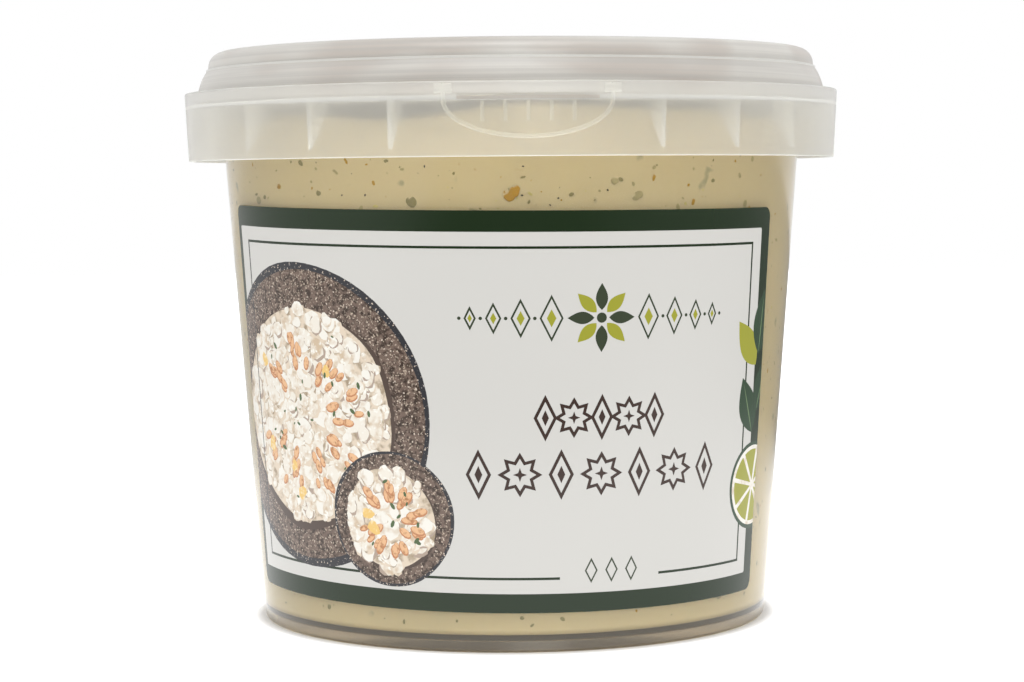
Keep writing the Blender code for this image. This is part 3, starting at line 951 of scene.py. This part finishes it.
def strew(draw, number, smallest, largest, marked):
    """Azimuth, height and size of every fleck of a kind: the marked ones, then a random lot."""
    bits = [(azimuth, height * MM, size * MM) for azimuth, height, size in marked]
    while len(bits) < len(marked) + number:
        azimuth = draw.uniform(-180, 180)
        height = draw.uniform(FLECK_LOW, dip_level(azimuth, 1))
        behind = HIDDEN_FROM < azimuth < HIDDEN_TO and HIDDEN_LOW < height < HIDDEN_HIGH
        if not behind:
            size = smallest + (largest - smallest) * draw.random() ** 2
            bits.append((azimuth, height, size * MM))
    return bits


for kind, (colour, number, smallest, largest, marked) in FLECKS.items():
    draw = random.Random(kind)
    spots, turns, girths = [], [], []
    for azimuth, height, size in strew(draw, number, smallest, largest, marked):
        outward = around(azimuth, 1, 0)
        lean = draw.uniform(0, math.pi)
        along = around(azimuth + 90, 1, 0) * math.cos(lean) + Vector((0, 0, math.sin(lean)))
        basis = Matrix((along, outward.cross(along), outward)).transposed()
        spots.append(around(azimuth, inner_radius(height) + WET, height))
        turns += basis.to_euler()
        girths += (size / 2, size / 2 * draw.uniform(*CHIP_SLIM), draw.uniform(*CHIP_DEPTH))
    fleck_mesh = bpy.data.meshes.new(kind + "_flecks")
    fleck_mesh.from_pydata(spots, [], [])
    for name, values in (("turn", turns), ("girth", girths)):
        fleck_mesh.attributes.new(name, "FLOAT_VECTOR", "POINT").data.foreach_set("vector", values)
    flecks = new_piece(kind + "_flecks", fleck_mesh)
    grow(flecks, fleck_tree(fleck_finish(kind, colour)), {"Rough": CHIP_ROUGH, "Grain": CHIP_GRAIN})
    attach(flecks, "root")

# The label
# A wrap of thin glossy film, glued round two fifths of the wall and printed dark green round a
# white field with a thin keyline, aubergine slices, a rosette and two rows of stars.
LABEL_BOTTOM = 5.53 * MM
LABEL_TOP = 59.43 * MM
LABEL_LEFT = -47.75 * MM  # along the wall from its front line, halfway up
LABEL_RIGHT = 41.8 * MM
LABEL_RISE = 0.3 * MM  # how far its edges climb to the sides, over a radian
LABEL_SKEW = -0.32 * MM  # how far it runs downhill to the right, over a radian
LABEL_CUT = 0.33  # 0 for ends along the cone, 1 for the ends of a straight strip
LABEL_CORNER = 1.4 * MM
LABEL_PROUD = 0.33 * MM
FILM = 0.12 * MM
COLUMN = 1.0 * MM


def on_wall(across, height, out):
    """A point of the flat label once it is wrapped on the wall, some way out from the wall."""
    middle = wall_radius((LABEL_BOTTOM + LABEL_TOP) / 2)
    turn = across / middle
    level = height + LABEL_RISE * turn ** 2 + LABEL_SKEW * turn
    radius = wall_radius(level)
    azimuth = math.degrees(across / (middle + LABEL_CUT * (radius - middle)))
    return around(azimuth, radius + out, level)


def rounded_box(left, right, low, high, corner, steps=6):
    """A rectangle with round corners."""
    outline = []
    for x, z, first in (
        (right - corner, high - corner, 0), (left + corner, high - corner, 90),
        (left + corner, low + corner, 180), (right - corner, low + corner, 270),
    ):
        for step in range(steps + 1):
            turn = math.radians(first + 90 * step / steps)
            outline.append((x + corner * math.cos(turn), z + corner * math.sin(turn)))
    return outline


def spot(x, z, radius, steps=32, squeeze=1.0, lean=0.0):
    """A round or oval spot."""
    outline = []
    for step in range(steps):
        turn = 2 * math.pi * step / steps
        long, short = radius * math.cos(turn), radius * squeeze * math.sin(turn)
        outline.append((
            x + long * math.cos(lean) - short * math.sin(lean),
            z + long * math.sin(lean) + short * math.cos(lean),
        ))
    return outline


artwork = []  # (ink, outline) in the order of printing


def paint(ink, outline):
    """Adds an outline, turned anticlockwise as the cut needs it."""
    area = sum(a[0] * b[1] - b[0] * a[1] for a, b in zip(outline, outline[1:] + outline[:1]))
    artwork.append((ink, outline if area > 0 else outline[::-1]))


def stroke(ink, points, width, closed=False):
    """A line of even width through the points, as one quad for each stretch."""
    count = len(points)
    sides = []
    for i, here in enumerate(points):
        before = points[(i - 1) % count] if closed else points[max(i - 1, 0)]
        after = points[(i + 1) % count] if closed else points[min(i + 1, count - 1)]
        back = (Vector(here) - Vector(before)).normalized()
        ahead = (Vector(after) - Vector(here)).normalized()
        run = (back + ahead).normalized()
        stretch = width / 2 / max(run.dot(ahead if ahead.length else back), 0.3)
        across = Vector((-run.y, run.x)) * stretch
        sides.append((Vector(here) + across, Vector(here) - across))
    pairs = list(zip(sides, sides[1:]))
    if closed:
        pairs.append((sides[-1], sides[0]))
    for (a, b), (c, d) in pairs:
        paint(ink, [tuple(b), tuple(d), tuple(c), tuple(a)])


FIELD_LEFT = -46.6 * MM
FIELD_RIGHT = 39.5 * MM
FIELD_LOW = 8.14 * MM
FIELD_HIGH = 56.61 * MM
FIELD_CORNER = 0.3 * MM
KEYLINE = 0.35 * MM
KEY_LEFT = -44.0 * MM
KEY_RIGHT = 37.2 * MM
KEY_LOW = 10.2 * MM
KEY_HIGH = 54.55 * MM
KEY_GAP = (6.2 * MM, 20.9 * MM)
ROUNDS = ((-32.0 * MM, 31.0 * MM, 21.0 * MM, 5), (-17.5 * MM, 17.8 * MM, 9.3 * MM, 8))
ROW_HIGH = (11.9 * MM, 31.9 * MM, 2.65 * MM, 3.85 * MM, 5)  # middle, height, size, pitch, number
ROW_LOW = (11.9 * MM, 24.3 * MM, 2.95 * MM, 5.55 * MM, 7)
STAR_LINE = 0.42 * MM
LOZENGES_AT = (10.6 * MM, 13.55 * MM, 16.5 * MM)
LOZENGE = (11.15 * MM, 1.5 * MM, 0.8 * MM)  # height, half length and half width
LOZENGE_LINE = 0.22 * MM
ROSETTE = (11.7 * MM, 45.2 * MM, 4.6 * MM)
SLICE = (40.6 * MM, 20.5 * MM, 6.2 * MM)
SKIN = 0.955  # a roast slice's charred skin starts at this share of its size
FLESH = (0.68, 0.95)  # its speckled flesh lies between these
HEART = 0.72  # and its creamy heart ends here
LEAVES = (  # place, length, width and lean of each leaf at the label's right edge, and its ink
    (39.6 * MM, 28.0 * MM, 8.5 * MM, 4.6 * MM, 112, "leaf"),
    (40.6 * MM, 31.0 * MM, 8.0 * MM, 4.2 * MM, 70, "leaf"),
    (39.8 * MM, 37.5 * MM, 8.0 * MM, 4.2 * MM, 128, "lime"),
    (40.4 * MM, 39.0 * MM, 9.0 * MM, 4.4 * MM, 84, "leaf"),
)


def wobbly(x, z, radius, rough, draw, steps=36):
    """A closed outline that wanders a little off a circle."""
    phases = [(waves, draw.uniform(0, 2 * math.pi)) for waves in (2, 3, 5, 8)]
    outline = []
    for step in range(steps):
        turn = 2 * math.pi * step / steps
        drift = sum(math.sin(waves * turn + phase) / waves for waves, phase in phases)
        reach = radius * (1 + rough * drift)
        outline.append((x + reach * math.cos(turn), z + reach * math.sin(turn)))
    return outline


def scatter(draw, x, z, near, far, count):
    """Even random spots between two distances from a place."""
    for _ in range(count):
        turn = draw.uniform(0, 2 * math.pi)
        reach = math.sqrt(draw.uniform(near ** 2, far ** 2))
        yield x + reach * math.cos(turn), z + reach * math.sin(turn)


def roasted_round(x, z, size, seed):
    """A slice of roast aubergine: charred skin, speckled brown flesh and a creamy, lumpy heart."""
    draw = random.Random(seed)
    paint("charcoal", wobbly(x, z, size, 0.012, draw, 64))
    for speck in scatter(draw, x, z, size * 0.95, size * 0.995, round(12 * size / MM)):
        paint("speckle", wobbly(*speck, draw.uniform(0.05, 0.12) * MM, 0.4, draw, 5))
    paint("brown", wobbly(x, z, size * SKIN, 0.012, draw, 64))
    flesh = (size * FLESH[0], size * FLESH[1])
    for speck in scatter(draw, x, z, *flesh, round(2.4 * (size / MM) ** 2)):
        ink = draw.choice(("speckle", "bark", "taupe"))
        paint(ink, wobbly(*speck, draw.uniform(0.06, 0.15) * MM, 0.4, draw, 5))
    heart = size * HEART
    paint("bark", wobbly(x, z - 0.02 * size, heart * 1.03, 0.05, draw, 64))
    paint("shade", wobbly(x, z, heart, 0.05, draw, 64))
    for lump in scatter(draw, x, z, 0, heart * 0.97, round(2.4 * (heart / MM) ** 2)):
        girth = draw.uniform(0.5, 1.5) * MM
        paint(draw.choice(("taupe", "shade", "shade", "shade")),
              wobbly(lump[0] + 0.1 * girth, lump[1] - 0.16 * girth, girth, 0.25, draw, 12))
        paint(draw.choice(("cream", "cream", "pale", "cream")),
              wobbly(lump[0], lump[1], girth * 0.92, 0.25, draw, 12))
    for turn in range(-150, 170, 40):
        for _ in range(round(size / MM / 2.6)):
            lean = math.radians(turn + draw.uniform(-13, 13))
            reach = heart * draw.uniform(0.36, 0.72)
            seed_x, seed_z = x + reach * math.cos(lean), z + reach * math.sin(lean)
            length = draw.uniform(0.75, 1.15) * MM
            paint("rust", spot(seed_x, seed_z - 0.1 * MM, length, 10, 0.55, lean))
            paint("tan", spot(seed_x, seed_z, length * 0.86, 10, 0.5, lean))
    for patch in scatter(draw, x, z, heart * 0.1, heart * 0.8, round(size / MM / 4)):
        paint("mustard", wobbly(*patch, draw.uniform(0.5, 1.1) * MM, 0.35, draw, 10))
    for leaf in scatter(draw, x, z, 0, heart * 0.85, round(size / MM * 1.1)):
        paint("herb", spot(*leaf, draw.uniform(0.25, 0.6) * MM, 7, 0.5, draw.uniform(0, 3)))


def star(x, z, reach, dent, points, turn=0.0):
    """A star whose points reach out and whose dents lie nearer."""
    outline = []
    for step in range(2 * points):
        angle = math.radians(turn) + math.pi * step / points
        radius = dent if step % 2 else reach
        outline.append((x + radius * math.sin(angle), z + radius * math.cos(angle)))
    return outline


def petal(x, z, length, width, lean, steps=12):
    """A pointed oval that starts at a place and leans by an angle in degrees."""
    run = Vector((math.cos(math.radians(lean)), math.sin(math.radians(lean))))
    side = Vector((-run.y, run.x))
    edges = [[], []]
    for step in range(steps + 1):
        share = step / steps
        for edge, sign in zip(edges, (1, -1)):
            bulge = sign * width / 2 * math.sin(math.pi * share ** 0.85)
            edge.append(tuple(Vector((x, z)) + run * length * share + side * bulge))
    return edges[0] + edges[1][-2:0:-1]


def ornament_row(middle, height, size, pitch, number):
    """Eight-pointed stars and lozenges in turn, drawn in outline with a small heart."""
    for i in range(number):
        x = middle + (i - (number - 1) / 2) * pitch
        if i % 2:
            stroke("coffee", star(x, height, size * 0.88, size * 0.56, 8), STAR_LINE, closed=True)
            paint("coffee", star(x, height, size * 0.32, size * 0.12, 4))
        else:
            stroke("coffee", star(x, height, size, size * 0.5, 2), STAR_LINE, closed=True)
            paint("coffee", star(x, height, size * 0.4, size * 0.18, 2))


def rosette(x, z, size):
    """A flower of eight petals between two chains of lozenges that grow smaller outward."""
    for turn in range(0, 360, 45):
        angle = math.radians(turn)
        ink = "lime" if turn % 90 else "moss"
        foot = 0.22 * size
        paint(ink, petal(x + foot * math.cos(angle), z + foot * math.sin(angle),
                         0.78 * size, 0.36 * size, turn))
    paint("moss", spot(x, z, 0.15 * size, 16))
    for side in (-1, 1):
        reach = size * 1.45
        for link in range(4):
            height = size * (0.62 - 0.11 * link)
            stroke("moss", star(x + side * reach, z, height, height * 0.5, 2), 0.25 * MM, closed=True)
            paint("lime", star(x + side * reach, z, height * 0.42, height * 0.22, 2))
            reach += height * 0.5 + 0.75 * MM
            paint("moss", spot(x + side * reach, z, 0.24 * MM, 10))
            reach += height * 0.45 + 0.55 * MM


def citrus_slice(x, z, size):
    """Half a slice of lime with its rind, pith and six segments."""
    paint("leaf", spot(x, z, size, 48))
    paint("pale", spot(x, z, size * 0.91, 48))
    for turn in range(10, 370, 45):
        angle = math.radians(turn)
        foot = size * 0.1
        wedge = [(x + foot * math.cos(angle), z + foot * math.sin(angle))]
        for step in range(7):
            spread = angle + math.radians(-19 + 38 * step / 6)
            wedge.append((x + size * 0.82 * math.cos(spread), z + size * 0.82 * math.sin(spread)))
        paint("lime", wedge)


paint("green", rounded_box(LABEL_LEFT, LABEL_RIGHT, LABEL_BOTTOM, LABEL_TOP, LABEL_CORNER))
paint("white", rounded_box(FIELD_LEFT, FIELD_RIGHT, FIELD_LOW, FIELD_HIGH, FIELD_CORNER))
stroke("green", [(KEY_GAP[0], KEY_LOW), (KEY_LEFT, KEY_LOW), (KEY_LEFT, KEY_HIGH),
                 (KEY_RIGHT, KEY_HIGH), (KEY_RIGHT, KEY_LOW), (KEY_GAP[1], KEY_LOW)], KEYLINE)
for place in ROUNDS:
    roasted_round(*place)
stroke("charcoal", [(KEY_LEFT, KEY_LOW), (KEY_LEFT, KEY_HIGH)], KEYLINE * 0.7)
rosette(*ROSETTE)
ornament_row(*ROW_HIGH)
ornament_row(*ROW_LOW)
for x in LOZENGES_AT:
    stroke("moss", star(x, *LOZENGE, 2), LOZENGE_LINE, closed=True)
citrus_slice(*SLICE)
for x, z, length, width, lean, ink in LEAVES:
    paint(ink, petal(x, z, length, width, lean))
    if ink == "leaf":
        paint("vein", petal(x, z, length * 0.9, 0.22 * MM, lean))

INK_COLOURS = {
    "green": (0.012, 0.026, 0.009), "white": (0.615, 0.605, 0.575),
    "charcoal": (0.036, 0.036, 0.041), "speckle": (0.62, 0.52, 0.43), "brown": (0.17, 0.12, 0.095),
    "bark": (0.085, 0.058, 0.046), "taupe": (0.42, 0.33, 0.265), "shade": (0.72, 0.61, 0.48),
    "cream": (0.81, 0.76, 0.67), "pale": (0.84, 0.81, 0.74), "tan": (0.77, 0.47, 0.26),
    "rust": (0.52, 0.23, 0.11), "mustard": (0.80, 0.54, 0.18), "herb": (0.083, 0.13, 0.055),
    "lime": (0.33, 0.33, 0.035), "leaf": (0.026, 0.058, 0.028), "vein": (0.15, 0.23, 0.11),
    "coffee": (0.05, 0.03, 0.024), "moss": (0.045, 0.058, 0.034),
}
MOTTLES = {  # ink: for each layer of speckle its colour, the noise's scale, and where it sets in
    "brown": (((0.05, 0.034, 0.026), 1500.0, 0.42, 0.62), ((0.55, 0.45, 0.35), 3400.0, 0.56, 0.68)),
    "charcoal": (((0.50, 0.46, 0.43), 3600.0, 0.62, 0.72),),
    "shade": (((0.36, 0.28, 0.19), 800.0, 0.45, 0.68),),
    "cream": (((0.60, 0.47, 0.33), 620.0, 0.46, 0.70), ((0.88, 0.86, 0.80), 1500.0, 0.52, 0.66)),
    "pale": (((0.66, 0.56, 0.44), 700.0, 0.48, 0.72),),
    "tan": (((0.42, 0.19, 0.08), 1700.0, 0.48, 0.68),),
    "mustard": (((0.86, 0.70, 0.42), 1500.0, 0.48, 0.66),),
}


def ink_finish(name, colour):
    """Printed film under a clear satin laminate, its colour even or speckled in layers."""
    finish, tree, place = new_material("ink " + name)
    tint = (*colour, 1)
    for layer, (speck, fine, low, high) in enumerate(MOTTLES.get(name, ())):
        grain = noise(tree, place, fine, 2.5, float(layer))
        tint = blend(tree, ramp(tree, grain, low, high), tint, (*speck, 1))
    principled(tree, {"Base Color": tint, "Roughness": 0.2, "Specular IOR Level": 0.42})
    return finish


def printed_label(name):
    """The film with every printed outline cut into its face, bent round the cup's wall."""
    corners, edges, outlines = [], [], []
    for _, outline in artwork:
        outlines.append(list(range(len(corners), len(corners) + len(outline))))
        corners += [Vector((x / MM, z / MM)) for x, z in outline]
    for column in range(1, int((LABEL_RIGHT - LABEL_LEFT) / COLUMN)):
        x = (LABEL_LEFT + column * COLUMN) / MM
        corners += [Vector((x, LABEL_BOTTOM / MM)), Vector((x, LABEL_TOP / MM))]
        edges.append((len(corners) - 2, len(corners) - 1))
    points, _, faces, _, _, owners = delaunay_2d_cdt(corners, edges, outlines, 0, 1e-4)
    names = list(dict.fromkeys(ink for ink, _ in artwork))
    shape = bmesh.new()
    placed = []
    for x, z in points:
        placed.append(shape.verts.new(on_wall(x * MM, z * MM, LABEL_PROUD)))
    for face, owner in zip(faces, owners):
        if 0 in owner:
            drawn = shape.faces.new([placed[i] for i in face])
            drawn.material_index = names.index(artwork[max(owner)][0])
    stray = [vert for vert in shape.verts if not vert.link_faces]
    bmesh.ops.delete(shape, geom=stray, context="VERTS")
    finishes = [ink_finish(ink, INK_COLOURS[ink]) for ink in names]
    return new_piece(name, mesh_of(name, shape), *finishes)


label = printed_label("wrap_label")
backing = label.modifiers.new("film", "SOLIDIFY")
backing.thickness = FILM
backing.offset = -1
settle(label, backing)
label.data.shade_smooth()
label.data.set_sharp_from_angle(angle=math.radians(SHARP))
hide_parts("label")
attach(label, "root")
